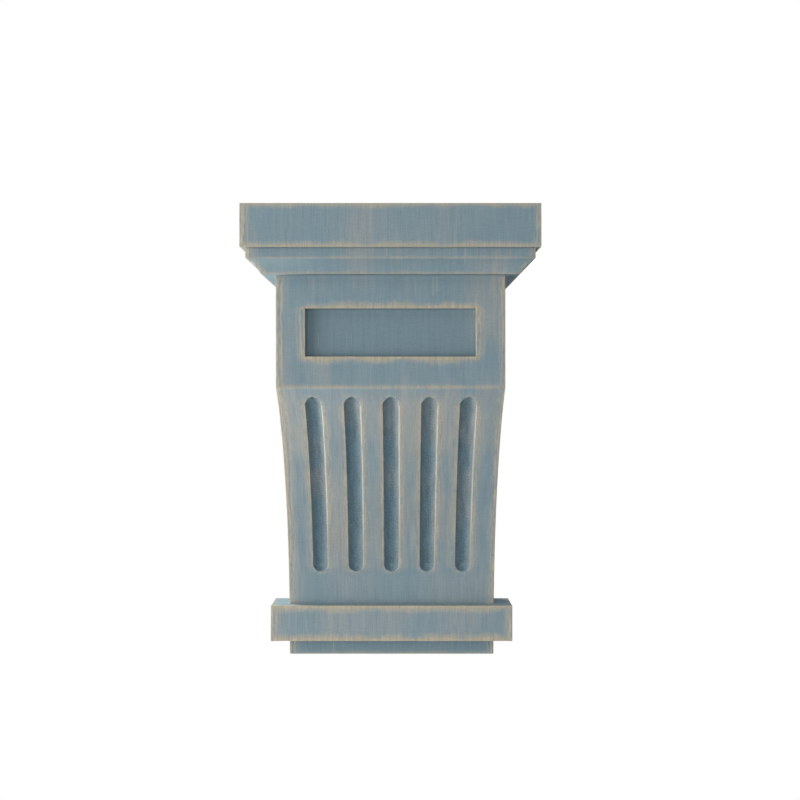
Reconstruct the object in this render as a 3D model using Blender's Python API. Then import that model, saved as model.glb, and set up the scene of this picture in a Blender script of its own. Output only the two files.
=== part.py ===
"""Fluted corbel: a wall bracket carved from one block of wood.

Metres, +Z up. The flat back lies on the plane y = 0 with the origin at its middle, and the corbel
stands out towards -Y. Every level section is a plain rectangle, so the block is where its side outline
and its front outline meet, and the mouldings return round its corners with true mitres. The sunk panel
and the flutes are then cut out of it.
"""
import math

import bmesh
import bpy
from mathutils import Matrix, Vector

# Overall
HEIGHT = 0.254
BODY_WIDTH = 0.1219
BODY_DEPTH = 0.1095  # wall to the upright face

# Cap and the moulding under it, each standing proud of the body at the front and at both sides
CAP_HEIGHT = 0.0228
CAP_OVERHANG = 0.0173
FILLET_HEIGHT = 0.0054
FILLET_OVERHANG = 0.0146
COVE_HEIGHT = 0.0077
LIP_OVERHANG = 0.0072
COVE_HOLLOW = 0.0007  # how far the cove is hollowed behind a straight chamfer

# Upright block and its sunk panel
BLOCK_HEIGHT = 0.0595
PANEL_WIDTH = 0.0906
PANEL_HEIGHT = 0.0254
PANEL_DEPTH = 0.0060
PANEL_DROP = 0.0176  # lip of the moulding down to the panel

# Swept shaft, which leaves the foot upright and curls out to the block's lower edge
FOOT_DEPTH = 0.0200
FOOT_HEIGHT = 0.0095
BAND_HEIGHT = 0.0210
BAND_OVERHANG = 0.01045

# Flutes, cut with a round-nosed bit held level
FLUTE_COUNT = 5
FLUTE_PITCH = 0.0210
FLUTE_BIT_RADIUS = 0.0045
FLUTE_DEPTH = 0.0040
FLUTE_TOP_MARGIN = 0.0048  # block's lower edge down to the flutes
FLUTE_BOTTOM_MARGIN = 0.0194  # top of the band up to the flutes

# Fineness of round work
SWEEP_STEP = 0.0080  # longest facet along the shaft's curve
COVE_STEPS = 6
BIT_STEPS = 6  # facets in a quarter of the bit's round

# How far a cutter passes the wood that it cuts
CUTTER_MARGIN = 0.0020
SHANK_REACH = 0.0120  # bit's straight shank, from the middle of its round nose

PAINT_COLOUR = (0.21, 0.28, 0.31, 1.0)
PAINT_ROUGHNESS = 0.65

# Levels, from the bottom up
BOTTOM = -HEIGHT / 2
TOP = HEIGHT / 2
BAND_BOTTOM = BOTTOM + FOOT_HEIGHT
BAND_TOP = BAND_BOTTOM + BAND_HEIGHT
CAP_BOTTOM = TOP - CAP_HEIGHT
FILLET_BOTTOM = CAP_BOTTOM - FILLET_HEIGHT
LIP_BOTTOM = FILLET_BOTTOM - COVE_HEIGHT
BLOCK_BOTTOM = LIP_BOTTOM - BLOCK_HEIGHT

# The shaft's curve: an arc that is upright at the bottom and ends at the block's lower edge
SWEEP_RISE = BODY_DEPTH - FOOT_DEPTH
SWEEP_RUN = BLOCK_BOTTOM - BOTTOM
SWEEP_RADIUS = (SWEEP_RISE**2 + SWEEP_RUN**2) / (2 * SWEEP_RISE)
SWEEP_CENTRE_DEPTH = FOOT_DEPTH + SWEEP_RADIUS


def clear_scene():
    for item in list(bpy.data.objects):
        bpy.data.objects.remove(item, do_unlink=True)


def new_collection(name):
    collection = bpy.data.collections.new(name)
    bpy.context.scene.collection.children.link(collection)
    return collection


def sweep_angle(level):
    """Angle round the shaft's arc at a height, from the bottom."""
    return math.asin((level - BOTTOM) / SWEEP_RADIUS)


def sweep_point(angle, below_face=0.0):
    """Depth from the wall and height of a point on the arc, or behind it."""
    reach = SWEEP_RADIUS + below_face
    return SWEEP_CENTRE_DEPTH - reach * math.cos(angle), BOTTOM + reach * math.sin(angle)


def sweep_run(low, high):
    """Points of the shaft's face from one height up to another, both ends included."""
    start = sweep_angle(low)
    turn = sweep_angle(high) - start
    steps = max(1, math.ceil(turn * SWEEP_RADIUS / SWEEP_STEP))
    points = [sweep_point(start + turn * i / steps) for i in range(steps + 1)]
    points[0] = (points[0][0], low)
    points[-1] = (points[-1][0], high)
    return points


def cove_run():
    """Overhang and height down the cove, a shallow hollow arc from the fillet to the lip."""
    out, up = FILLET_OVERHANG - LIP_OVERHANG, COVE_HEIGHT
    chord = math.hypot(out, up)
    points = []
    for i in range(COVE_STEPS + 1):
        share = i / COVE_STEPS
        hollow = COVE_HOLLOW * 4 * share * (1 - share)
        points.append((FILLET_OVERHANG - out * share - up / chord * hollow,
                       FILLET_BOTTOM - up * share + out / chord * hollow))
    return points


def head_profile():
    """Overhang and height of the cap and its moulding, from the top down."""
    cap = [(CAP_OVERHANG, TOP), (CAP_OVERHANG, CAP_BOTTOM)]
    return cap + [(FILLET_OVERHANG, CAP_BOTTOM)] + cove_run() + [(0.0, LIP_BOTTOM)]


def side_outline():
    """Depth from the wall and height, round the block seen from the side."""
    head = [(BODY_DEPTH + out, level) for out, level in head_profile()]
    shaft = sweep_run(BAND_TOP, BLOCK_BOTTOM)[::-1]
    band_face = FOOT_DEPTH + BAND_OVERHANG
    band = [(band_face, BAND_TOP), (band_face, BAND_BOTTOM)]
    foot = sweep_run(BOTTOM, BAND_BOTTOM)[::-1]
    return head + shaft + band + foot + [(0.0, BOTTOM), (0.0, TOP)]


def front_outline():
    """Distance from the middle and height, round the block seen from the front."""
    half = BODY_WIDTH / 2
    head = [(half + out, level) for out, level in head_profile()]
    band_edge = half + BAND_OVERHANG
    band = [(half, BAND_TOP), (band_edge, BAND_TOP), (band_edge, BAND_BOTTOM), (half, BAND_BOTTOM)]
    right = head + band + [(half, BOTTOM)]
    return right + [(-across, level) for across, level in reversed(right)]


def extruded_outline(name, points, half_thickness, stand, collection):
    """A flat outline made a curve, extruded both ways and made a mesh, then stood upright."""
    curve = bpy.data.curves.new(name + "_outline", "CURVE")
    curve.dimensions = "2D"
    curve.fill_mode = "BOTH"
    curve.extrude = half_thickness
    spline = curve.splines.new("POLY")
    spline.points.add(len(points) - 1)
    for spot, (across, up) in zip(spline.points, points):
        spot.co = (across, up, 0.0, 1.0)
    spline.use_cyclic_u = True
    drawn = bpy.data.objects.new(name + "_outline", curve)
    collection.objects.link(drawn)
    evaluated = drawn.evaluated_get(bpy.context.evaluated_depsgraph_get())
    mesh = bpy.data.meshes.new_from_object(evaluated)
    mesh.name = name
    mesh.transform(stand)
    block = bpy.data.objects.new(name, mesh)
    block.matrix_world = drawn.matrix_world
    collection.objects.link(block)
    bpy.data.objects.remove(drawn, do_unlink=True)
    tidy_shell(mesh)
    return block


def tidy_shell(mesh):
    """Welds a mesh's loose edges and turns its faces outwards."""
    bm = bmesh.new()
    bm.from_mesh(mesh)
    bmesh.ops.remove_doubles(bm, verts=bm.verts, dist=1e-6)
    bmesh.ops.recalc_face_normals(bm, faces=bm.faces)
    bm.to_mesh(mesh)
    bm.free()


def as_cutter(cutter):
    cutter.hide_render = True
    cutter.display_type = "WIRE"


def cut(target, cutter, operation, solver="EXACT"):
    modifier = target.modifiers.new(cutter.name, "BOOLEAN")
    modifier.operation = operation
    modifier.solver = solver
    modifier.object = cutter


def panel_cutter(collection):
    """A box that sinks the panel into the upright block."""
    bm = bmesh.new()
    bmesh.ops.create_cube(bm, size=1.0)
    sunk = PANEL_DEPTH + CUTTER_MARGIN
    bmesh.ops.scale(bm, verts=bm.verts, vec=(PANEL_WIDTH, sunk, PANEL_HEIGHT))
    middle_y = -BODY_DEPTH + PANEL_DEPTH - sunk / 2
    middle_z = LIP_BOTTOM - PANEL_DROP - PANEL_HEIGHT / 2
    bmesh.ops.translate(bm, verts=bm.verts, vec=(0.0, middle_y, middle_z))
    return mesh_object("panel_cutter", bm, collection)


def bit_frame(angle):
    """Middle of the bit's nose on its way up the shaft, the way along and the way out of the wood."""
    depth, level = sweep_point(angle, FLUTE_DEPTH - FLUTE_BIT_RADIUS)
    along = Vector((0.0, -math.sin(angle), math.cos(angle)))
    out = Vector((0.0, -math.cos(angle), -math.sin(angle)))
    return Vector((0.0, -depth, level)), along, out


def bit_angle(level):
    """Angle round the shaft's arc at which the middle of the bit's nose is at this height."""
    return math.asin((level - BOTTOM) / (SWEEP_RADIUS + FLUTE_DEPTH - FLUTE_BIT_RADIUS))


def flute_stations():
    """Places of the bit round a flute, as middle of the nose, way to its flank and way out of the wood.

    They run up one flank, turn round the top, come down the other flank and turn round the bottom. At an
    end the bit leans over until it is level, so that the end is a half circle seen from the front.
    """
    start = bit_angle(BAND_TOP + FLUTE_BOTTOM_MARGIN + FLUTE_BIT_RADIUS)
    end = bit_angle(BLOCK_BOTTOM - FLUTE_TOP_MARGIN - FLUTE_BIT_RADIUS)
    steps = max(1, math.ceil((end - start) * SWEEP_RADIUS / SWEEP_STEP))
    angles = [start + (end - start) * i / steps for i in range(steps + 1)]
    stations = []
    for side, run in ((1, angles), (-1, angles[::-1])):
        flank = Vector((side, 0.0, 0.0))
        for angle in run:
            middle, _, out = bit_frame(angle)
            stations.append((middle, flank, out))
        middle, along, out = bit_frame(run[-1])
        for i in range(1, 2 * BIT_STEPS):
            turn = math.pi * i / (2 * BIT_STEPS)
            lean = Matrix.Rotation(-run[-1] * math.sin(turn), 3, "X")
            way = flank * math.cos(turn) + lean @ along * side * math.sin(turn)
            stations.append((middle, way, lean @ out))
    return stations


def flute_cutter(number, across, collection):
    """The wood that a round-nosed bit takes out: half of the bit's section, lofted round the flute."""
    section = [(0.0, SHANK_REACH), (FLUTE_BIT_RADIUS, SHANK_REACH)]
    for i in range(BIT_STEPS + 1):
        turn = math.radians(90) * i / BIT_STEPS
        section.append((FLUTE_BIT_RADIUS * math.cos(turn), -FLUTE_BIT_RADIUS * math.sin(turn)))

    stations = flute_stations()
    bm = bmesh.new()
    section_point = bm.verts.layers.int.new("section_point")
    chain = []
    for i in range(len(section)):
        spot = bm.verts.new()
        spot[section_point] = i
        chain.append(spot)
    edges = [bm.edges.new(pair) for pair in zip(chain, chain[1:])]
    for place, (middle, flank, out) in enumerate(stations + stations[:1]):
        if place > 0:
            made = bmesh.ops.extrude_edge_only(bm, edges=edges)["geom"]
            chain = [item for item in made if isinstance(item, bmesh.types.BMVert)]
            edges = [item for item in made if isinstance(item, bmesh.types.BMEdge)]
        for spot in chain:
            aside, outwards = section[spot[section_point]]
            spot.co = middle + flank * aside + out * outwards
            spot.co.x += across
    bmesh.ops.remove_doubles(bm, verts=bm.verts, dist=1e-6)
    bm.normal_update()
    bmesh.ops.recalc_face_normals(bm, faces=bm.faces)
    return mesh_object(f"flute_cutter_{number}", bm, collection)


def mesh_object(name, bm, collection):
    mesh = bpy.data.meshes.new(name)
    bm.to_mesh(mesh)
    bm.free()
    made = bpy.data.objects.new(name, mesh)
    collection.objects.link(made)
    return made


def paint_material():
    material = bpy.data.materials.new("distressed_blue_paint")
    material.use_nodes = True
    shader = material.node_tree.nodes["Principled BSDF"]
    shader.inputs["Base Color"].default_value = PAINT_COLOUR
    shader.inputs["Roughness"].default_value = PAINT_ROUGHNESS
    shader.inputs["Metallic"].default_value = 0.0
    return material


def build():
    clear_scene()
    parts = new_collection("fluted_corbel")
    cutters = new_collection("cutters")

    # Local X and Y of the side outline are the distance from the wall and the height
    side_on = Matrix(((0, 0, 1, 0), (-1, 0, 0, 0), (0, 1, 0, 0), (0, 0, 0, 1)))
    front_on = Matrix(((1, 0, 0, 0), (0, 0, -1, 0), (0, 1, 0, 0), (0, 0, 0, 1)))
    widest_overhang = max(CAP_OVERHANG, FILLET_OVERHANG, LIP_OVERHANG, BAND_OVERHANG)
    half_across = BODY_WIDTH / 2 + widest_overhang + CUTTER_MARGIN
    half_through = max(BODY_DEPTH, FOOT_DEPTH) + widest_overhang + CUTTER_MARGIN

    corbel = extruded_outline("corbel", side_outline(), half_across, side_on, parts)
    front = extruded_outline("front_shape", front_outline(), half_through, front_on, cutters)
    # The two shapes share their level faces, which EXACT would drop and MANIFOLD keeps
    cut(corbel, front, "INTERSECT", solver="MANIFOLD")
    as_cutter(front)

    panel = panel_cutter(cutters)
    cut(corbel, panel, "DIFFERENCE")
    as_cutter(panel)

    for number in range(FLUTE_COUNT):
        across = (number - (FLUTE_COUNT - 1) / 2) * FLUTE_PITCH
        flute = flute_cutter(number + 1, across, cutters)
        cut(corbel, flute, "DIFFERENCE")
        as_cutter(flute)

    corbel.data.materials.append(paint_material())


build()
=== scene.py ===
import math

import bmesh
import bpy
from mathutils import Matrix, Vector, kdtree, noise


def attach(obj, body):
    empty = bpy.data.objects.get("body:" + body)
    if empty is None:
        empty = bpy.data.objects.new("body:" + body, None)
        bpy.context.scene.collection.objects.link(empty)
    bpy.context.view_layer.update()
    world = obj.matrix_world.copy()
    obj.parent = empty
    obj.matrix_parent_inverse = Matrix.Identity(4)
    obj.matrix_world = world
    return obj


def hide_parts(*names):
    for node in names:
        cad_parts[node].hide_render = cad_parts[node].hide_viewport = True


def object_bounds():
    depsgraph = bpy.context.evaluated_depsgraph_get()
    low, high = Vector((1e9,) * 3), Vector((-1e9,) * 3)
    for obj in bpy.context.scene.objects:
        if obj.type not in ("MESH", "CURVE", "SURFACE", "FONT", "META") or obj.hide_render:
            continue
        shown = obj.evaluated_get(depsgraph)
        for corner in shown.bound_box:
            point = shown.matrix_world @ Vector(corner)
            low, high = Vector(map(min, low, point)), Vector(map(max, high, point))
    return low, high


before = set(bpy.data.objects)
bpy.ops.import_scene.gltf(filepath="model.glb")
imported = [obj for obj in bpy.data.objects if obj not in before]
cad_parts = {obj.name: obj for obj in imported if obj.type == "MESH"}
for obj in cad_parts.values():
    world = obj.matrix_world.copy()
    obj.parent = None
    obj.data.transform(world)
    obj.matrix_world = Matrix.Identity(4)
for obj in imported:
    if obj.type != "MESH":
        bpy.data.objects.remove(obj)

cad_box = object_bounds()

# The view: square on to the carved face, level with the top of the shaft, from 0.81 m before the wall.
# The corbel's middle sits a few millimetres left of the lens, as it does in the photograph.
CAMERA_PLACE = (0.0050, -0.810, 0.02495)
CAMERA_LENS = 59.4
CAMERA_SENSOR = 36.0

camera = bpy.data.objects.new("view", bpy.data.cameras.new("view"))
camera.data.lens = CAMERA_LENS
camera.data.sensor_width = CAMERA_SENSOR
camera.location = CAMERA_PLACE
camera.rotation_euler = (math.radians(90), 0, 0)
bpy.context.collection.objects.link(camera)
bpy.context.scene.camera = camera

# The studio: white all round and brighter above, with soft boxes at the left, so that ledges and undersides
# on that side are bright and those on the right lie in the corbel's own shade. A long low box behind the
# face's plane lights the right side alone. The pale floor lies well below, out of the photograph's frame.
ROOM_ABOVE = 0.44
ROOM_BELOW = 0.20
ROOM_COLOUR = (0.88, 0.97, 1.08, 1.0)
BOX_COLOUR = (1.02, 1.0, 0.97)
KEY_ANGLE = 58
KEY_REACH = 0.98
KEY_SIZE = (0.90, 1.10)
KEY_POWER = 8.75
FILL_ANGLE = 4
FILL_REACH = 1.6
FILL_SIZE = (0.60, 1.00)
FILL_POWER = 5.4
SIDE_ANGLE = 120
SIDE_REACH = 1.0
SIDE_RISE = 0.84
SIDE_SIZE = (0.8, 0.8)
HIGH_POWER = 17.5
LOW_POWER = 18.0
RIGHT_ANGLE = -105
RIGHT_REACH = 3.0
RIGHT_SIZE = (1.60, 0.10)
RIGHT_POWER = 9.0
FLOOR_LEVEL = -1.10
FLOOR_RADIUS = 0.80
FLOOR_COLOUR = (0.80, 0.80, 0.80, 1.0)

bpy.context.scene.view_settings.view_transform = "Standard"
world = bpy.data.worlds.new("white room")
bpy.context.scene.world = world
world.use_nodes = True
room = world.node_tree
room.nodes.clear()
room_out = room.nodes.new("ShaderNodeOutputWorld")
room_mix = room.nodes.new("ShaderNodeMixShader")
room_path = room.nodes.new("ShaderNodeLightPath")
room_light = room.nodes.new("ShaderNodeBackground")
room_seen = room.nodes.new("ShaderNodeBackground")
room_light.inputs["Color"].default_value = ROOM_COLOUR
room_place = room.nodes.new("ShaderNodeTexCoord")
room_parts = room.nodes.new("ShaderNodeSeparateXYZ")
room_rise = room.nodes.new("ShaderNodeMapRange")
room_rise.inputs["From Min"].default_value = -1.0
room_rise.inputs["From Max"].default_value = 1.0
room_rise.inputs["To Min"].default_value = ROOM_BELOW
room_rise.inputs["To Max"].default_value = ROOM_ABOVE
room.links.new(room_place.outputs["Generated"], room_parts.inputs["Vector"])
room.links.new(room_parts.outputs["Z"], room_rise.inputs["Value"])
room.links.new(room_rise.outputs["Result"], room_light.inputs["Strength"])
room_seen.inputs["Color"].default_value = (1.0, 1.0, 1.0, 1.0)
room_seen.inputs["Strength"].default_value = 1.0
room.links.new(room_path.outputs["Is Camera Ray"], room_mix.inputs["Fac"])
room.links.new(room_light.outputs["Background"], room_mix.inputs[1])
room.links.new(room_seen.outputs["Background"], room_mix.inputs[2])
room.links.new(room_mix.outputs["Shader"], room_out.inputs["Surface"])


def soft_box(name, angle, reach, size, power, height=0.0):
    """A soft box round the corbel, turned towards it, its angle taken from the front to the left."""
    light = bpy.data.lights.new(name, "AREA")
    light.shape = "RECTANGLE"
    light.size, light.size_y = size
    light.energy = power
    light.color = BOX_COLOUR
    box = bpy.data.objects.new(name, light)
    turn = math.radians(angle)
    box.location = (-reach * math.sin(turn), -reach * math.cos(turn), height)
    box.rotation_euler = (Vector((0, 0, 0)) - box.location).to_track_quat("-Z", "Y").to_euler()
    bpy.context.collection.objects.link(box)
    return box


soft_box("key_box", KEY_ANGLE, KEY_REACH, KEY_SIZE, KEY_POWER)
soft_box("fill_box", FILL_ANGLE, FILL_REACH, FILL_SIZE, FILL_POWER)
soft_box("high_box", SIDE_ANGLE, SIDE_REACH, SIDE_SIZE, HIGH_POWER, SIDE_RISE)
soft_box("low_box", SIDE_ANGLE, SIDE_REACH, SIDE_SIZE, LOW_POWER, -SIDE_RISE)
soft_box("right_box", RIGHT_ANGLE, RIGHT_REACH, RIGHT_SIZE, RIGHT_POWER)

bm = bmesh.new()
bmesh.ops.create_circle(bm, cap_ends=True, segments=96, radius=FLOOR_RADIUS)
bmesh.ops.translate(bm, verts=bm.verts, vec=(0, 0, FLOOR_LEVEL))
floor_mesh = bpy.data.meshes.new("pale_floor")
bm.to_mesh(floor_mesh)
bm.free()
floor = bpy.data.objects.new("pale_floor", floor_mesh)
bpy.context.collection.objects.link(floor)
floor_paint = bpy.data.materials.new("pale floor")
floor_paint.use_nodes = True
floor_shader = floor_paint.node_tree.nodes["Principled BSDF"]
floor_shader.inputs["Base Color"].default_value = FLOOR_COLOUR
floor_shader.inputs["Roughness"].default_value = 0.8
floor_mesh.materials.append(floor_paint)

# The corbel is one block of pale wood, carved on its face and its two sides, with a flat back for the wall.
# Every arris is eased by sanding and by wear, and the shaft's long curve is smooth, so the solid's
# facets are cut finer here and its sharp edges are rounded.
WELD = 0.000001
FLAT_TURN = math.radians(0.4)
SHORT_EDGE = 0.00012
ARRIS_TURN = math.radians(20)
ARRIS_EASE = 0.00040
RIM_EASE = 0.00013
GRID = 0.003
SAMPLE_STEP = 0.0002
LEVEL_FACING = 0.9
RIM_MARK = 1
ARRIS_MARK = 2
DENT_REACH = 0.0016
DENT_DEPTH = 0.00012
DENT_LENGTH = 0.006

BODY_FACE = -0.1095
SHAFT_BOTTOM = -0.1270
SHAFT_TOP = 0.0316
SHAFT_RADIUS = 0.1853
FLUTE_COUNT = 5
FLUTE_PITCH = 0.0210
FLUTE_RADIUS = 0.0045
FLUTE_TOP = 0.0268
FLUTE_BOTTOM = -0.0771
RIM_ZONE = 0.0475
PANEL_HALF_WIDTH = 0.0453
PANEL_TOP = 0.0735
PANEL_BOTTOM = 0.0481
BAND_TOP = -0.0965
FOOT_TOP = -0.1175
LIP_LEVEL = 0.0911

# How far the paint is rubbed off from each level arris, as (level of the arris, reach), top to bottom.
LEVEL_RUBS = (
    (0.1270, 0.0014),
    (0.1042, 0.0016),
    (0.0988, 0.0004),
    (0.0911, 0.0008),
    (0.0735, 0.0018),
    (0.0481, 0.0022),
    (0.0316, 0.0008),
    (-0.0965, 0.0019),
    (-0.1175, 0.0022),
    (-0.1270, 0.0009),
)

# Where the paint has worn thin in soft patches, as (across, up, half width, half height, how thin), the
# sizes in millimetres: first on the cap and block, then between the flutes, in them, and on the shaft's
# foot and band.
THIN_PATCHES = (
    (8, 114, 36, 14, 0.12),
    (-16, 106, 6, 20, 0.40),
    (31, 116, 6, 14, 0.15),
    (52, 78, 11, 22, 0.75),
    (-39, 39, 6, 9, 0.35),
    (-39, 87, 6, 6, 0.25),
    (-13, 40, 4, 8, 0.20),
    (0, 28, 62, 6, 0.10),
    (-56, 12, 9, 18, 0.75),
    (-32, 14, 6, 12, 0.30),
    (-31, -48, 6, 26, 0.70),
    (-10, 16, 6, 14, 0.35),
    (-10, -50, 6, 26, 0.25),
    (11, 12, 6, 18, 0.75),
    (10, -46, 5, 18, 0.25),
    (31, 14, 6, 17, 0.85),
    (31, -44, 6, 13, 0.50),
    (51, 16, 7, 18, 0.55),
    (-42, 0, 6, 5, 0.25),
    (-42, -23, 6, 9, 0.50),
    (-21, 19, 6, 8, 0.25),
    (0, 16, 6, 12, 0.30),
    (0, -21, 6, 7, 0.35),
    (21, 16, 6, 13, 0.35),
    (21, -22, 6, 7, 0.20),
    (42, 10, 6, 9, 0.35),
    (42, -30, 6, 16, 0.40),
    (38, -88, 22, 10, 0.35),
    (-22, -86, 14, 7, 0.30),
    (-14, -107, 28, 10, 0.50),
    (41, -107, 9, 10, 0.45),
)
PATCH_DRIFT = 3.0
PATCH_FRONT = (0.010, 0.035)

# Fine upright scratches on the front, as (across, foot, head), in millimetres.
SCRATCHES = (
    (22.5, 80.0, 91.0),
    (24.6, 82.0, 91.0),
    (-2.0, 99.0, 104.0),
    (38.8, 96.0, 104.0),
    (62.6, 99.0, 104.0),
    (-34.8, -127.0, -117.0),
)

# How heavily the upright arrises are worn, by place, in millimetres.
PANEL_UPRIGHT_WEAR = 1.2
LEFT_UPRIGHT_WEAR = 1.35
RIGHT_UPRIGHT_WEAR = 0.85
FOOT_UPRIGHT_WEAR = 1.1

# How heavily the flutes' rims are worn, and where and by how much that eases towards their feet. The heavier
# reach on the right rims also lays a painted highlight along them.
RIM_END_WEAR = 0.5
RIM_RIGHT_WEAR = 1.0
RIM_LEFT_WEAR = 0.7
RIM_EASING_TOP = -0.035
RIM_EASING_HEIGHT = 0.025
RIM_EASING = 0.35

# Painted shade darkening the inner corners at the foot and at the panel's bottom, and, below nought, painted
# light brightening those under the lip and at the panel's top.
PAINTED_CORNER_SHADE = 0.8
PAINTED_CORNER_LIGHT = -1.9
SLACK = 0.001
LEDGE_ZONE = 0.003

# The number that tells the streaks of one side from those of another.
FRONT_NUMBER = 0
RIGHT_NUMBER = 10
LEFT_NUMBER = 25
TOP_NUMBER = 40
UNDER_NUMBER = 55
BACK_NUMBER = 70


def level_reach_of(spot):
    """How far wear reaches from a level arris at this place, in millimetres."""
    return min(LEVEL_RUBS, key=lambda rub: abs(rub[0] - spot.z))[1] * 1000


def upright_reach_of(spot):
    """How heavily an upright arris is worn: most at the corbel's left, least at its right."""
    if abs(spot.x) < PANEL_HALF_WIDTH + SLACK:
        return PANEL_UPRIGHT_WEAR
    if spot.x < 0:
        return LEFT_UPRIGHT_WEAR
    return FOOT_UPRIGHT_WEAR if spot.z < BAND_TOP else RIGHT_UPRIGHT_WEAR


def rim_reach_of(spot):
    """A flute's rim is worn furthest along its right, less towards its foot, and least round its ends."""
    if not FLUTE_BOTTOM + FLUTE_RADIUS < spot.z < FLUTE_TOP - FLUTE_RADIUS:
        return RIM_END_WEAR
    reach = RIM_RIGHT_WEAR if spot.x > FLUTE_PITCH * round(spot.x / FLUTE_PITCH) else RIM_LEFT_WEAR
    eased = min(1.0, max(0.0, (RIM_EASING_TOP - spot.z) / RIM_EASING_HEIGHT))
    return reach * (1.0 - RIM_EASING * eased)


def painted_corner_shading_of(spot):
    """How much painted shade darkens an inner corner, or, below nought, how much painted light brightens it.
    """
    if spot.z < FOOT_TOP + LEDGE_ZONE or abs(spot.z - PANEL_BOTTOM) < SLACK / 2:
        return PAINTED_CORNER_SHADE
    if abs(spot.z - LIP_LEVEL) < 2 * SLACK or abs(spot.z - PANEL_TOP) < SLACK / 2:
        return PAINTED_CORNER_LIGHT
    return 0.0


def mark_faces(bm, number):
    """Gives each carved face, up to its sharp edges, a number of its own."""
    left = set(bm.faces)
    count = 0
    while left:
        count += 1
        front = [left.pop()]
        while front:
            face = front.pop()
            face[number] = count
            for edge in face.edges:
                for other in edge.link_faces:
                    if other in left and edge.calc_face_angle(0.0) < ARRIS_TURN:
                        left.remove(other)
                        front.append(other)


def arris_kind(edge):
    """Whether an arris is the rim of a flute, an upright one or a level one."""
    start, end = (vert.co for vert in edge.verts)
    run = end - start
    middle = (start + end) / 2
    if abs(middle.x) < RIM_ZONE and FLUTE_BOTTOM - SLACK < middle.z < FLUTE_TOP + SLACK:
        return "rim"
    if abs(run.z) > 0.5 * run.length:
        return "upright"
    return "level"


def arris_tree(points):
    """A search tree of the places along the arrises that bound one carved face."""
    tree = kdtree.KDTree(len(points))
    for index, point in enumerate(points):
        tree.insert(point, index)
    tree.balance()
    return tree


def inside_flute(place):
    """Whether a place lies within a flute's outline, seen from the front."""
    across = min(abs(place.x - (i - (FLUTE_COUNT - 1) / 2) * FLUTE_PITCH) for i in range(FLUTE_COUNT))
    past_end = max(place.z - (FLUTE_TOP - FLUTE_RADIUS), FLUTE_BOTTOM + FLUTE_RADIUS - place.z, 0)
    return place.y < -0.01 and math.hypot(across, past_end) < FLUTE_RADIUS - 0.0002


def sunk_in_panel(place):
    """Whether a place lies in the sunk panel, behind its rim."""
    return (abs(place.x) < PANEL_HALF_WIDTH + 0.0001 and PANEL_BOTTOM - 0.0001 < place.z < PANEL_TOP + 0.0001
            and BODY_FACE + 0.0008 < place.y < -0.05)


def thinness(place):
    """How thin the paint is in the patches of the front, which fade towards the wall."""
    drift = PATCH_DRIFT * noise.noise(Vector((place.x / 0.010, 0.0, place.z / 0.025)))
    run = PATCH_DRIFT * noise.noise(Vector((place.x / 0.005, 7.0, place.z / 0.040)))
    thin = 0.0
    for across, up, half_width, half_height, amount in THIN_PATCHES:
        aside = (place.x * 1000 + drift - across) / half_width
        above = (place.z * 1000 + 2 * run - up) / half_height
        thin += amount * min(1.0, max(0.0, (1.3 - (aside ** 4 + above ** 4) ** 0.25) / 0.6))
    wall_end, front_end = PATCH_FRONT
    return thin * min(1.0, max(0.0, (-place.y - wall_end) / (front_end - wall_end)))


def grain_run(level):
    """How far along the grain a height of the face is, round the shaft's curve and then straight up."""
    curve = min(level, SHAFT_TOP) - SHAFT_BOTTOM
    return SHAFT_RADIUS * math.asin(min(1.0, max(0.0, curve / SHAFT_RADIUS))) + max(0.0, level - SHAFT_TOP)


def grain_place(place, facing):
    """Millimetres across and along the grain, and a third number that tells one side from another."""
    if abs(facing.z) > LEVEL_FACING:
        return Vector((place.x * 1000, place.y * 1000, TOP_NUMBER if facing.z > 0 else UNDER_NUMBER))
    if abs(facing.x) > abs(facing.y) and abs(place.x) > PANEL_HALF_WIDTH + SLACK:
        return Vector((place.y * 1000, place.z * 1000, RIGHT_NUMBER if facing.x > 0 else LEFT_NUMBER))
    if facing.y > 0:
        return Vector((place.x * 1000, place.z * 1000, BACK_NUMBER))
    return Vector((place.x * 1000, grain_run(place.z) * 1000, FRONT_NUMBER))


bm = bmesh.new()
bm.from_mesh(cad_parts["corbel"].data)
bmesh.ops.remove_doubles(bm, verts=bm.verts, dist=WELD)
bmesh.ops.dissolve_limit(bm, angle_limit=FLAT_TURN, verts=bm.verts, edges=bm.edges)
bmesh.ops.remove_doubles(bm, verts=bm.verts, dist=SHORT_EDGE)
carved_face = bm.faces.layers.int.new("carved_face")
mark_faces(bm, carved_face)
to_ease = bm.edges.layers.int.new("to_ease")
along = {}
for edge in bm.edges:
    if not edge.is_manifold or edge.calc_face_angle() < ARRIS_TURN:
        continue
    kind = arris_kind(edge) if edge.is_convex else "corner"
    if edge.is_convex:
        edge[to_ease] = RIM_MARK if kind == "rim" else ARRIS_MARK
    start, end = (vert.co.copy() for vert in edge.verts)
    count = max(1, math.ceil(edge.calc_length() / SAMPLE_STEP))
    spots = [start.lerp(end, i / count) for i in range(count + 1)]
    for face in edge.link_faces:
        along.setdefault((face[carved_face], kind), []).extend(spots)
trees = {key: arris_tree(spots) for key, spots in along.items()}

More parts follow.
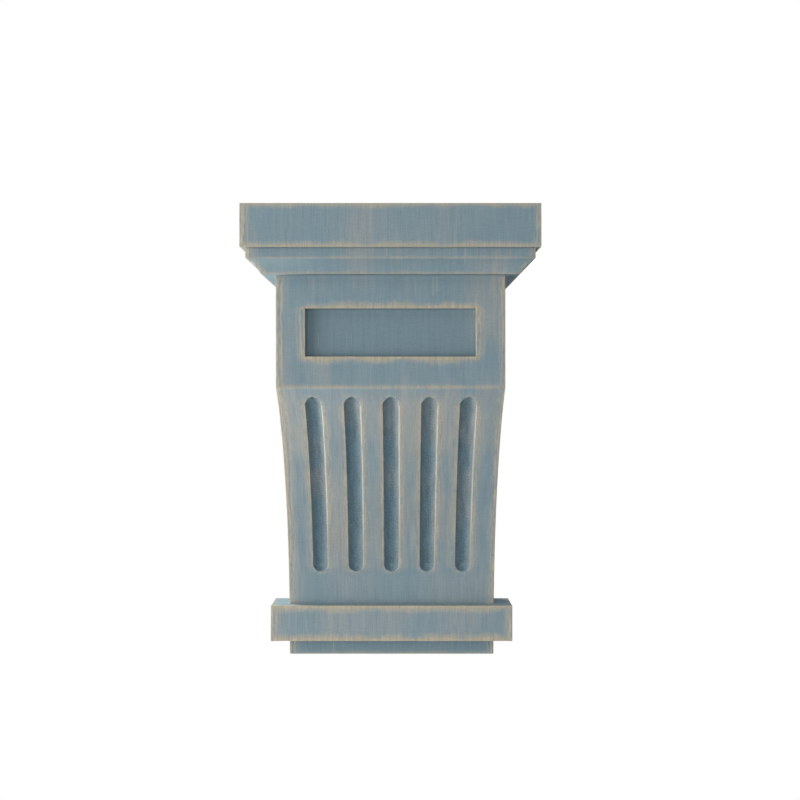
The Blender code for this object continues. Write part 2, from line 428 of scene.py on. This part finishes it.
for mark, ease in ((RIM_MARK, RIM_EASE), (ARRIS_MARK, ARRIS_EASE)):
    edges = [edge for edge in bm.edges if edge[to_ease] == mark]
    bmesh.ops.bevel(bm, geom=edges, offset=ease, offset_type="OFFSET", segments=2, profile=0.5,
                    affect="EDGES", clamp_overlap=False, material=-1, loop_slide=True)
bmesh.ops.triangulate(bm, faces=[face for face in bm.faces if len(face.verts) > 4])
low, high = cad_box
for axis in range(3):
    normal = Vector((0, 0, 0))
    normal[axis] = 1
    count = int((high[axis] - low[axis]) / GRID)
    for i in range(1, count + 1):
        place = Vector((0, 0, 0))
        place[axis] = low[axis] + (high[axis] - low[axis]) * i / (count + 1)
        bmesh.ops.bisect_plane(bm, geom=bm.verts[:] + bm.edges[:] + bm.faces[:], dist=WELD,
                               plane_co=place, plane_no=normal)

bm.normal_update()
# The level, upright and rim kinds carry wear; the corner kind carries painted shade and painted light in
# inner corners.
WEAR_AND_SHADE_KINDS = (("level", level_reach_of), ("upright", upright_reach_of), ("rim", rim_reach_of),
              ("corner", painted_corner_shading_of))
UNTOUCHED = 50.0
SUNK_FLUTE = 0.6
LEDGE_WEAR = 0.70
PAINTED_LEDGE_LIGHT = -1.7
END_FADE = 2.0
gaps = {kind: bm.loops.layers.float.new(kind + "_distance") for kind, _ in WEAR_AND_SHADE_KINDS}
reaches = {kind: bm.loops.layers.float.new(kind + "_reach") for kind, _ in WEAR_AND_SHADE_KINDS}
sunk = bm.verts.layers.float.new("sunk")
thin = bm.verts.layers.float.new("thin")
grain = bm.loops.layers.float_vector.new("grain_place")
right_wall = bm.loops.layers.float.new("right_wall")
for vert in bm.verts:
    vert[thin] = thinness(vert.co)
    vert[sunk] = 1.0 if sunk_in_panel(vert.co) else SUNK_FLUTE if inside_flute(vert.co) else 0.0
found = {}
for face in bm.faces:
    in_flute = inside_flute(face.calc_center_median())
    for corner in face.loops:
        corner[grain] = grain_place(corner.vert.co, face.normal)
        aside = corner.vert.co.x - FLUTE_PITCH * round(corner.vert.co.x / FLUTE_PITCH)
        corner[right_wall] = min(1.0, max(0.0, aside / FLUTE_RADIUS)) if in_flute else 0.0
        for kind, reach_of in WEAR_AND_SHADE_KINDS:
            key = (corner.vert, face[carved_face], kind)
            if key not in found:
                tree = trees.get(key[1:])
                spot, _, gap = tree.find(corner.vert.co) if tree else (corner.vert.co, 0, UNTOUCHED / 1000)
                if kind in ("upright", "rim"):
                    gap += END_FADE * max(0.0, abs(spot.z - corner.vert.co.z) - SAMPLE_STEP)
                found[key] = (gap * 1000, reach_of(spot))
            gap, reach = found[key]
            # The band's ledge takes painted light over its whole face.
            if kind == "corner" and face.normal.z > LEVEL_FACING and corner.vert.co.z < BAND_TOP + LEDGE_ZONE:
                gap, reach = 0.0, PAINTED_LEDGE_LIGHT
            elif abs(face.normal.z) > LEVEL_FACING:
                reach *= LEDGE_WEAR
            corner[gaps[kind]] = gap
            corner[reaches[kind]] = reach
for vert in bm.verts:
    nearest = min(corner[gaps[kind]] for corner in vert.link_loops for kind, _ in WEAR_AND_SHADE_KINDS[:3]) / 1000
    if nearest < DENT_REACH:
        dent = max(0.0, noise.noise(vert.co / DENT_LENGTH))
        vert.co -= vert.normal * DENT_DEPTH * dent * (1 - nearest / DENT_REACH)

block_mesh = bpy.data.meshes.new("carved_block")
bm.to_mesh(block_mesh)
bm.free()
block_mesh.shade_smooth()
block_mesh.set_sharp_from_angle(angle=ARRIS_TURN)
carved_block = bpy.data.objects.new("carved_block", block_mesh)
bpy.context.collection.objects.link(carved_block)

# The finish: slate-blue paint brushed up and down the grain, thin enough for greyer wood tones to show
# through in soft patches, then rubbed back, so that pale wood shows on the arrises in feathered bands and
# in wavy streaks beside the upright ones.
# Light and shade are painted in too: painted shade in the flutes' and panel's hollows, on the flutes' left
# walls, on the foot and in the lower inner corners; painted light on the flutes' right walls, the cove, the
# shaft's foot, the corners under the lip and panel top, and the band's ledge; and a painted highlight along
# the flutes' right rims.


def seen_colour(red, green, blue):
    """A colour as the eye reads it, from 0 to 255, in the shader's own scale."""
    parts = []
    for part in (red / 255, green / 255, blue / 255):
        parts.append(part / 12.92 if part <= 0.04045 else ((part + 0.055) / 1.055) ** 2.4)
    return (*parts, 1.0)


PAINT_BLUE = seen_colour(117, 139, 148)
# Painted shade for the deep hollows of the flutes and panel.
PAINTED_HOLLOW_SHADE = seen_colour(98, 134, 150)
PAINT_GREY = seen_colour(144, 149, 148)
PAINT_THIN = seen_colour(164, 162, 151)
BARE_PALE = seen_colour(208, 191, 159)
BARE_DARK = seen_colour(163, 152, 131)
# The pale tone of a painted highlight along the flutes' right rims.
RIM_PAINTED_HIGHLIGHT = seen_colour(212, 209, 200)

# Levels between which a tone of the finish comes in or goes out, in metres up the corbel. The flat back takes
# the tone of the plain level throughout.
PLAIN_LEVEL = 0.06
LOWER_HALF_RISE = (0.045, -0.02)
ABOVE_FOOT = (-0.1180, -0.1170)
# Below the band the foot takes a bluer, less veiled tone and painted shade.
BELOW_BAND = (-0.1170, -0.1180)
# The cove's levels bound painted light on it.
COVE_LOWER = (0.0900, 0.0925)
COVE_UPPER = (0.0995, 0.0970)
# The shaft foot's levels bound painted light above the band.
SHAFT_FOOT_UPPER = (-0.070, -0.085)
SHAFT_FOOT_LOWER = (-0.098, -0.095)


def add_step(tree, kind, inputs=None, **settings):
    """Adds one node of the finish with its settings, and sets or links its inputs."""
    step = tree.nodes.new(kind)
    for name, value in settings.items():
        setattr(step, name, value)
    for name, value in (inputs or {}).items():
        if isinstance(value, bpy.types.NodeSocket):
            tree.links.new(value, step.inputs[name])
        else:
            step.inputs[name].default_value = value
    return step


def reckon(tree, operation, first, second=0.0, third=0.0, clamp=False):
    """One sum on values of the finish."""
    step = add_step(tree, "ShaderNodeMath", {0: first, 1: second, 2: third},
                    operation=operation, use_clamp=clamp)
    return step.outputs[0]


def rise(tree, value, low, high):
    """Rises softly from 0 at the low value to 1 at the high one."""
    step = add_step(tree, "ShaderNodeMapRange", {"Value": value, "From Min": low, "From Max": high},
                    interpolation_type="SMOOTHSTEP")
    return step.outputs["Result"]


def lay_over(tree, factor, under, over):
    """One colour laid over another."""
    step = add_step(tree, "ShaderNodeMix", {0: factor, 6: under, 7: over}, data_type="RGBA")
    return step.outputs[2]


def make_streak_group():
    """Streaks from 0 to 1 on a place given in millimetres, by their width and length in millimetres."""
    group = bpy.data.node_groups.new("grain streaks", "ShaderNodeTree")
    group.interface.new_socket("Place", in_out="INPUT", socket_type="NodeSocketVector")
    for name in ("Width", "Length", "Shift"):
        group.interface.new_socket(name, in_out="INPUT", socket_type="NodeSocketFloat")
    group.interface.new_socket("Streak", in_out="OUTPUT", socket_type="NodeSocketFloat")
    given = group.nodes.new("NodeGroupInput")
    out = group.nodes.new("NodeGroupOutput")
    parts = add_step(group, "ShaderNodeSeparateXYZ", {"Vector": given.outputs["Place"]})
    stretched = add_step(group, "ShaderNodeCombineXYZ", {
        "X": reckon(group, "DIVIDE", parts.outputs["X"], given.outputs["Width"]),
        "Y": reckon(group, "DIVIDE", parts.outputs["Y"], given.outputs["Length"]),
        "Z": reckon(group, "ADD", parts.outputs["Z"], given.outputs["Shift"]),
    })
    texture = add_step(group, "ShaderNodeTexNoise", {
        "Vector": stretched.outputs["Vector"], "Scale": 1.0, "Detail": 2.0, "Roughness": 0.55,
    })
    spread = reckon(group, "MULTIPLY_ADD", texture.outputs["Fac"], 2.0, -0.5, clamp=True)
    group.links.new(spread, out.inputs["Streak"])
    return group


streak_group = make_streak_group()


def streaks(tree, place, width, length, shift):
    """Streaks of one width and length, in millimetres."""
    step = add_step(tree, "ShaderNodeGroup", node_tree=streak_group)
    tree.links.new(place, step.inputs["Place"])
    step.inputs["Width"].default_value = width
    step.inputs["Length"].default_value = length
    step.inputs["Shift"].default_value = shift
    return step.outputs["Streak"]


def carried(tree, name, output="Fac"):
    """A value that the mesh carries at each of its points."""
    return add_step(tree, "ShaderNodeAttribute", attribute_name=name).outputs[output]


paint = bpy.data.materials.new("distressed slate-blue paint")
paint.use_nodes = True
coat = paint.node_tree
shader = coat.nodes["Principled BSDF"]

face = carried(coat, "grain_place", "Vector")
face_parts = add_step(coat, "ShaderNodeSeparateXYZ", {"Vector": face})
on_front = rise(coat, face_parts.outputs["Z"], FRONT_NUMBER + 2.0, FRONT_NUMBER + 1.0)
sunk_paint = carried(coat, "sunk")
fine_grain = streaks(coat, face, 0.55, 16.0, 3.0)
brush_marks = streaks(coat, face, 2.2, 55.0, 11.0)
cross_marks = streaks(coat, face, 7.0, 0.7, 29.0)
broad_patches = streaks(coat, face, 20.0, 48.0, 47.0)
mottle = streaks(coat, face, 0.8, 0.9, 59.0)

level_gap = carried(coat, "level_distance")
level_reach = carried(coat, "level_reach")
upright_gap = carried(coat, "upright_distance")
upright_reach = carried(coat, "upright_reach")
rim_gap = carried(coat, "rim_distance")
corner_gap = carried(coat, "corner_distance")
painted_corner_shading = carried(coat, "corner_reach")
object_parts = add_step(coat, "ShaderNodeSeparateXYZ", {
    "Vector": add_step(coat, "ShaderNodeTexCoord").outputs["Object"]})
off_back = rise(coat, face_parts.outputs["Z"], BACK_NUMBER - 5.0, BACK_NUMBER - 10.0)
above_plain = reckon(coat, "SUBTRACT", object_parts.outputs["Z"], PLAIN_LEVEL)
height_up = reckon(coat, "MULTIPLY_ADD", above_plain, off_back, PLAIN_LEVEL)
lower_half = rise(coat, height_up, *LOWER_HALF_RISE)
lower_half = reckon(coat, "MULTIPLY", lower_half, rise(coat, height_up, *ABOVE_FOOT))
on_foot = rise(coat, height_up, *BELOW_BAND)
# Painted shade: deep in the flutes and the sunk panel, away from their rims.
hollow = reckon(coat, "MULTIPLY", rise(coat, rim_gap, 0.2, 2.5), rise(coat, sunk_paint, 0.1, 0.5))
hollow = reckon(coat, "MULTIPLY", hollow, rise(coat, rim_gap, 20.0, 10.0))
blotches = streaks(coat, face, 2.6, 11.0, 171.0)
grey_tone_and_wall_light = reckon(coat, "MULTIPLY", rise(coat, broad_patches, 0.2, 1.0), 0.30)
grey_tone_and_wall_light = reckon(coat, "MULTIPLY_ADD", lower_half, 0.13, grey_tone_and_wall_light)
grey_tone_and_wall_light = reckon(coat, "MULTIPLY", grey_tone_and_wall_light, reckon(coat, "MULTIPLY_ADD", sunk_paint, -1.3, 1.0, clamp=True))
grey_tone_and_wall_light = reckon(coat, "MULTIPLY", grey_tone_and_wall_light, reckon(coat, "MULTIPLY_ADD", on_foot, -0.5, 1.0))
brushed = reckon(coat, "MULTIPLY_ADD", brush_marks, 0.7, 0.35)
brushed = reckon(coat, "MULTIPLY_ADD", blotches, 0.6, brushed)
thin_share = reckon(coat, "MULTIPLY", carried(coat, "thin"), on_front)
side_thin = reckon(coat, "MULTIPLY", rise(coat, broad_patches, 0.35, 0.95), 0.30)
thin_share = reckon(coat, "MULTIPLY_ADD", reckon(coat, "SUBTRACT", 1.0, on_front), side_thin, thin_share)
grey_tone_and_wall_light = reckon(coat, "MULTIPLY_ADD", thin_share, brushed, grey_tone_and_wall_light, clamp=True)
# Painted light: the flutes' right walls, which face the light, are made paler and brighter.
right_wall_painted_light = rise(coat, carried(coat, "right_wall"), 0.0, 1.0)
grey_tone_and_wall_light = reckon(coat, "MULTIPLY_ADD", right_wall_painted_light, 0.22, grey_tone_and_wall_light, clamp=True)
# Painted shade: a darker blue deep in the hollows, most on the flutes' left walls away from the light.
hollow_shade_share = reckon(coat, "MULTIPLY", hollow, reckon(coat, "SUBTRACT", 1.0, right_wall_painted_light))
paint_and_painted_light = lay_over(coat, reckon(coat, "MULTIPLY", hollow_shade_share, 0.45), PAINT_BLUE, PAINTED_HOLLOW_SHADE)
paint_and_painted_light = lay_over(coat, grey_tone_and_wall_light, paint_and_painted_light, PAINT_GREY)

veil_gap = reckon(coat, "DIVIDE", reckon(coat, "MULTIPLY", level_gap, 3.0), level_reach)
veil_gap = reckon(coat, "MINIMUM", veil_gap, reckon(coat, "DIVIDE", upright_gap, upright_reach))
veil_gap = reckon(coat, "MINIMUM", veil_gap, rim_gap)
veil = rise(coat, veil_gap, 8.0, 0.5)
veil = reckon(coat, "MULTIPLY", veil, rise(coat, streaks(coat, face, 4.0, 26.0, 67.0), 0.0, 0.8))
veil = reckon(coat, "MULTIPLY", veil, reckon(coat, "MULTIPLY_ADD", lower_half, 0.20, 0.36))
veil = reckon(coat, "MULTIPLY", veil, reckon(coat, "MULTIPLY_ADD", sunk_paint, -1.6, 1.0, clamp=True))
veil = reckon(coat, "MULTIPLY", veil, reckon(coat, "MULTIPLY_ADD", on_foot, -0.5, 1.0))
paint_and_painted_light = lay_over(coat, veil, paint_and_painted_light, PAINT_THIN)

grain_share = reckon(coat, "MULTIPLY_ADD", sunk_paint, -0.08, 0.19)
grain_share = reckon(coat, "MULTIPLY_ADD", lower_half, 0.07, grain_share)
tone_and_painted_light = reckon(coat, "MULTIPLY_ADD", fine_grain, grain_share, 0.79)
tone_and_painted_light = reckon(coat, "MULTIPLY_ADD", brush_marks, 0.12, tone_and_painted_light)
tone_and_painted_light = reckon(coat, "MULTIPLY_ADD", cross_marks, 0.10, tone_and_painted_light)
tone_and_painted_light = reckon(coat, "MULTIPLY_ADD", mottle, 0.15, tone_and_painted_light)
# Painted shade: the sunk panel and flutes are darker, and darker still deep in their hollows.
tone_and_painted_light = reckon(coat, "MULTIPLY_ADD", sunk_paint, -0.05, tone_and_painted_light)
tone_and_painted_light = reckon(coat, "MULTIPLY_ADD", hollow, -0.15, tone_and_painted_light)
# Painted light brightening the flutes' right walls.
tone_and_painted_light = reckon(coat, "MULTIPLY_ADD", right_wall_painted_light, 0.20, tone_and_painted_light)
pitted = reckon(coat, "ADD", reckon(coat, "MULTIPLY", mottle, 0.7), reckon(coat, "MULTIPLY", blotches, 0.5))
pitted = reckon(coat, "MULTIPLY", hollow, reckon(coat, "SUBTRACT", pitted, 0.6))
tone_and_painted_light = reckon(coat, "MULTIPLY_ADD", pitted, 0.60, tone_and_painted_light)
fleck_zone = reckon(coat, "MULTIPLY", rise(coat, rim_gap, 5.0, 0.5), 0.7)
fleck_zone = reckon(coat, "MAXIMUM", fleck_zone, rise(coat, upright_gap, 7.0, 1.0))
flecks = reckon(coat, "SUBTRACT", streaks(coat, face, 0.7, 4.0, 191.0), 0.5)
flecked = reckon(coat, "MULTIPLY_ADD", reckon(coat, "MULTIPLY", fleck_zone, flecks), 0.34, 1.0)
# Painted light brightening the cove under the cap.
cove_painted_light = rise(coat, height_up, *COVE_UPPER)
cove_painted_light = reckon(coat, "MULTIPLY", cove_painted_light, rise(coat, height_up, *COVE_LOWER))
tone_and_painted_light = reckon(coat, "MULTIPLY_ADD", cove_painted_light, 0.10, tone_and_painted_light)
# Painted light brightening the shaft's foot above the band, against its contact shade.
shaft_foot_painted_light = rise(coat, height_up, *SHAFT_FOOT_UPPER)
shaft_foot_painted_light = reckon(coat, "MULTIPLY", shaft_foot_painted_light, rise(coat, height_up, *SHAFT_FOOT_LOWER))
tone_and_painted_light = reckon(coat, "MULTIPLY_ADD", shaft_foot_painted_light, 0.05, tone_and_painted_light)
# Painted shade darkening the foot under the band's overhang.
tone_and_painted_light = reckon(coat, "MULTIPLY_ADD", on_foot, -0.05, tone_and_painted_light)
# Painted shade in the inner corners at the foot and the panel's bottom; painted light, below nought, under
# the lip, at the panel's top and on the band's ledge.
corner_shading_mask = reckon(coat, "MULTIPLY", rise(coat, corner_gap, 3.5, 0.0), painted_corner_shading)
tone_and_painted_light = reckon(coat, "MULTIPLY_ADD", corner_shading_mask, -0.13, tone_and_painted_light)
shaded = add_step(coat, "ShaderNodeVectorMath", {0: paint_and_painted_light, "Scale": tone_and_painted_light}, operation="SCALE")
paint_and_painted_light = shaded.outputs["Vector"]

rub_patches = streaks(coat, face, 16.0, 16.0, 83.0)
feathers = streaks(coat, face, 0.5, 6.0, 91.0)
ripple = streaks(coat, face, 12.0, 7.0, 103.0)

line_reach = reckon(coat, "MULTIPLY_ADD", rub_patches, 0.8, 0.30)
line_reach = reckon(coat, "MULTIPLY_ADD", feathers, 0.25, line_reach)
line_reach = reckon(coat, "MULTIPLY", line_reach, level_reach)
level_line = rise(coat, reckon(coat, "SUBTRACT", line_reach, level_gap), -0.9, 0.6)
line_share = reckon(coat, "MULTIPLY_ADD", level_reach, 0.35, 0.30, clamp=True)
level_line = reckon(coat, "MULTIPLY", level_line, line_share)
feather_reach = reckon(coat, "MULTIPLY_ADD", rub_patches, 2.4, 0.1)
feather_reach = reckon(coat, "MULTIPLY_ADD", feathers, 1.0, feather_reach)
feather_reach = reckon(coat, "MULTIPLY", feather_reach, level_reach)
level_feather = rise(coat, reckon(coat, "SUBTRACT", feather_reach, level_gap), -1.0, 2.0)
level_chips = reckon(coat, "MULTIPLY_ADD", streaks(coat, face, 1.2, 1.8, 199.0), 0.7, 0.20)
level_bare = reckon(coat, "MAXIMUM", level_line, reckon(coat, "MULTIPLY", level_feather, level_chips))


def beside_arris(gap, period, reach, shift):
    """Wavy streaks rubbed along an arris, a period apart in millimetres, that thin out past their reach."""
    across = reckon(coat, "MULTIPLY_ADD", streaks(coat, face, 40.0, 60.0, shift), 3.0, gap)
    across = reckon(coat, "MULTIPLY_ADD", ripple, 0.35, across)
    wave = reckon(coat, "SINE", reckon(coat, "MULTIPLY", across, 2 * math.pi / period))
    wave = reckon(coat, "MULTIPLY_ADD", streaks(coat, face, 0.7, 18.0, shift + 7.0), 2.4, wave)
    wave = reckon(coat, "MULTIPLY_ADD", streaks(coat, face, 0.8, 7.0, shift + 11.0), 1.6, wave)
    wave = reckon(coat, "SUBTRACT", wave, 2.0)
    fading = rise(coat, gap, reach, 0.3)
    return reckon(coat, "MULTIPLY", rise(coat, wave, -0.7, 0.4), fading)


worn_upright = reckon(coat, "DIVIDE", upright_gap, upright_reach)
upright_bare = beside_arris(worn_upright, 1.9, 5.0, 109.0)
upright_line = reckon(coat, "MULTIPLY", rise(coat, upright_gap, 1.0, 0.3), rise(coat, rub_patches, 0.15, 0.5))
upright_bare = reckon(coat, "MAXIMUM", upright_bare, reckon(coat, "MULTIPLY", upright_line, 0.9))
upright_bare = reckon(coat, "MULTIPLY", upright_bare, rise(coat, upright_reach, 0.1, 1.0))

rim_reach = carried(coat, "rim_reach")
worn_rim = reckon(coat, "DIVIDE", rim_gap, rim_reach)
rim_line = reckon(coat, "MULTIPLY", rise(coat, worn_rim, 0.95, 0.25), rise(coat, rub_patches, -0.2, 0.5))
curls = rise(coat, worn_rim, 6.0, 0.0)
curls = reckon(coat, "MULTIPLY_ADD", streaks(coat, face, 0.7, 12.0, 127.0), 1.1, curls)
curls = reckon(coat, "MULTIPLY_ADD", streaks(coat, face, 0.9, 2.6, 139.0), 0.6, curls)
rim_bare = reckon(coat, "MULTIPLY", rise(coat, curls, 1.30, 1.95), 0.72)
rim_bare = reckon(coat, "MAXIMUM", rim_bare, rim_line)
open_face = reckon(coat, "MULTIPLY_ADD", sunk_paint, -1.66, 1.0, clamp=True)
rim_bare = reckon(coat, "MULTIPLY", rim_bare, open_face)

scratches = rise(coat, streaks(coat, face, 0.8, 26.0, 131.0), 0.91, 0.98)
for across, foot, head in SCRATCHES:
    aside = reckon(coat, "ABSOLUTE", reckon(coat, "SUBTRACT", face_parts.outputs["X"], across))
    within = reckon(coat, "MULTIPLY", rise(coat, height_up, foot / 1000 - 0.001, foot / 1000 + 0.002),
                    rise(coat, height_up, head / 1000 + 0.001, head / 1000 - 0.001))
    within = reckon(coat, "MULTIPLY", within, on_front)
    scratch = reckon(coat, "MULTIPLY", rise(coat, aside, 0.5, 0.1), within)
    scratches = reckon(coat, "MAXIMUM", scratches, scratch)
bare = reckon(coat, "MAXIMUM", level_bare, upright_bare)
bare = reckon(coat, "MAXIMUM", bare, rim_bare)
bare = reckon(coat, "MAXIMUM", bare, reckon(coat, "MULTIPLY", scratches, 0.5))
# Painted highlight: a pale rubbed line along the flutes' right rims, which also makes the wear there more
# solid.
rubbed = reckon(coat, "MULTIPLY", rise(coat, worn_rim, 0.9, 0.2), rise(coat, rim_reach, 0.60, 0.95))
solid_share = reckon(coat, "MULTIPLY_ADD", rubbed, 0.35, reckon(coat, "MULTIPLY_ADD", fine_grain, 0.35, 0.60))
worn = reckon(coat, "MULTIPLY", bare, solid_share, clamp=True)

wood_and_rim_highlight = lay_over(coat, streaks(coat, face, 0.7, 22.0, 151.0), BARE_DARK, BARE_PALE)
# The painted highlight on the right rims.
wood_and_rim_highlight = lay_over(coat, reckon(coat, "MULTIPLY", rubbed, 0.8), wood_and_rim_highlight, RIM_PAINTED_HIGHLIGHT)
colour = lay_over(coat, worn, paint_and_painted_light, wood_and_rim_highlight)
colour = add_step(coat, "ShaderNodeVectorMath", {0: colour, "Scale": flecked}, operation="SCALE")
coat.links.new(colour.outputs["Vector"], shader.inputs["Base Color"])
roughness = reckon(coat, "MULTIPLY_ADD", worn, 0.15, 0.62)
coat.links.new(roughness, shader.inputs["Roughness"])
shader.inputs["Specular IOR Level"].default_value = 0.35
height = reckon(coat, "MULTIPLY_ADD", worn, -0.5, fine_grain)
height = reckon(coat, "MULTIPLY_ADD", brush_marks, 0.4, height)
relief = add_step(coat, "ShaderNodeBump", {"Height": height, "Strength": 0.35, "Distance": 0.0001})
coat.links.new(relief.outputs["Normal"], shader.inputs["Normal"])

block_mesh.materials.append(paint)
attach(carved_block, "root")
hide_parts("corbel")
